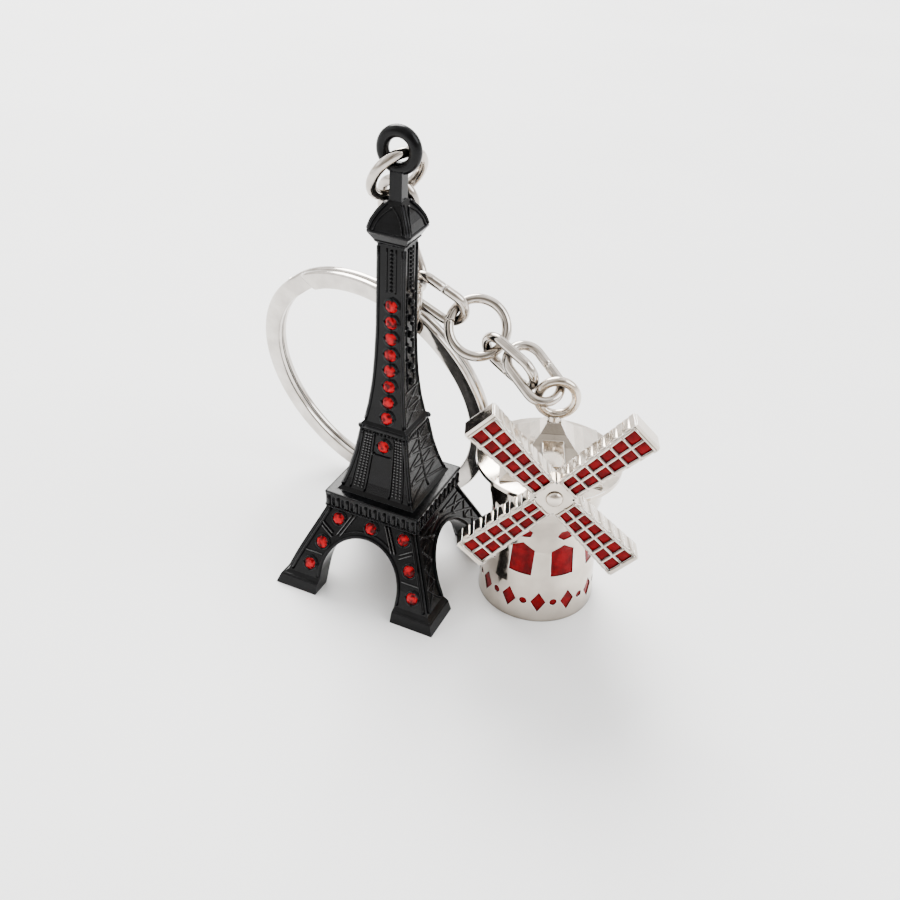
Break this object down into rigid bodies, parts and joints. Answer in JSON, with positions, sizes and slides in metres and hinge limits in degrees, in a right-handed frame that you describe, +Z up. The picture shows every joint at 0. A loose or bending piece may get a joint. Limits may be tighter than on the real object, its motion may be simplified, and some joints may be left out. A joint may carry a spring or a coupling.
{
  "type": "keychain",
  "caption": "Charm keychain: a stone-set lattice tower charm and a windmill charm with turning sails, joined by chain links and jump rings to a flat split ring.",
  "frame": {"origin": "centre of the windmill's flat base, on the ground plane", "axes": "+Z up, +X to the right along the row of charms, +Y towards the split ring that leans behind the tower"},
  "size_m": [0.0527, 0.0246, 0.0512],
  "materials": {
    "black_paint": "satin black stoved paint on a die casting",
    "rhinestone": "faceted red glass",
    "plated_steel": "bright nickel plate",
    "plated_casting": "bright plate over a polished casting",
    "red_enamel": "glossy soft enamel"
  },
  "bodies": {
    "tower": {"tower_casting": "black_paint", "mast_rhinestones": "rhinestone", "second_stage_rhinestone": "rhinestone", "left_leg_rhinestones": "rhinestone", "arch_rhinestone": "rhinestone", "right_leg_rhinestones": "rhinestone"},
    "tower_jump_ring": {"tower_jump_ring": "plated_steel"},
    "upper_chain_link": {"upper_chain_link": "plated_steel"},
    "lower_chain_link": {"lower_chain_link": "plated_steel"},
    "middle_chain_link": {"middle_chain_link": "plated_steel"},
    "split_ring_link": {"split_ring_link": "plated_steel"},
    "main_jump_ring": {"main_jump_ring": "plated_steel"},
    "split_ring": {"split_ring": "plated_steel"},
    "windmill_link_upper": {"windmill_link_upper": "plated_steel"},
    "windmill_link_lower": {"windmill_link_lower": "plated_steel"},
    "windmill": {"windmill_body": "plated_casting", "hub_rivet": "plated_steel", "pentagon_window_enamel": "red_enamel", "diamond_window_enamel": "red_enamel", "band_enamel": "red_enamel"},
    "sails": {"windmill_sails": "plated_casting", "sail_enamel_upper_right": "red_enamel", "sail_enamel_upper_left": "red_enamel", "sail_enamel_lower_left": "red_enamel", "sail_enamel_lower_right": "red_enamel"}
  },
  "joints": [
    {"name": "tower_ring_swing", "type": "hinge", "parent": "tower", "child": "tower_jump_ring", "pos_m": [-0.01494, -0.00385, 0.04811], "axis": [0.799, -0.354, 0.486], "range_deg": [0, 14]},
    {"name": "upper_link_swing", "type": "hinge", "parent": "tower_jump_ring", "child": "upper_chain_link", "pos_m": [-0.01693, -0.00176, 0.04473], "axis": [0.8522, 0.007, -0.5231], "range_deg": [0, 40]},
    {"name": "lower_link_swing", "type": "hinge", "parent": "upper_chain_link", "child": "lower_chain_link", "pos_m": [-0.01868, 0.0003, 0.03976], "axis": [0.177, -0.9833, 0.043], "range_deg": [0, 24]},
    {"name": "middle_link_swing", "type": "hinge", "parent": "lower_chain_link", "child": "middle_chain_link", "pos_m": [-0.01584, 0.00047, 0.03361], "axis": [0.237, -0.967, -0.094], "range_deg": [0, 45]},
    {"name": "ring_link_swing", "type": "hinge", "parent": "middle_chain_link", "child": "split_ring_link", "pos_m": [-0.01762, 0.00082, 0.03247], "axis": [0.2229, 0.3679, -0.9027], "range_deg": [0, 9]},
    {"name": "split_ring_swing", "type": "hinge", "parent": "split_ring_link", "child": "split_ring", "pos_m": [-0.01847, 0.00395, 0.02967], "axis": [0.2549, -0.2859, 0.9237], "range_deg": [0, 50]},
    {"name": "main_ring_swing", "type": "hinge", "parent": "middle_chain_link", "child": "main_jump_ring", "pos_m": [-0.01241, 0.00154, 0.03028], "axis": [-0.494, -0.597, 0.632], "range_deg": [0, 58]},
    {"name": "windmill_link_swing", "type": "hinge", "parent": "main_jump_ring", "child": "windmill_link_upper", "pos_m": [-0.00782, 0.00115, 0.0275], "axis": [-0.6261, -0.6741, -0.392], "range_deg": [0, 20]},
    {"name": "windmill_lower_link_swing", "type": "hinge", "parent": "windmill_link_upper", "child": "windmill_link_lower", "pos_m": [-0.00584, 0.00066, 0.02818], "axis": [-0.011, -0.875, -0.484], "range_deg": [0, 30]},
    {"name": "windmill_swing", "type": "hinge", "parent": "windmill_link_lower", "child": "windmill", "pos_m": [-0.00176, -0.00063, 0.02513], "axis": [-0.091, -0.037, -0.9952], "range_deg": [0, 35]},
    {"name": "sails_spin", "type": "hinge", "parent": "windmill", "child": "sails", "pos_m": [0.00386, -0.00955, 0.0198], "axis": [0.3746, -0.9272, 0], "continuous": true}
  ]
}
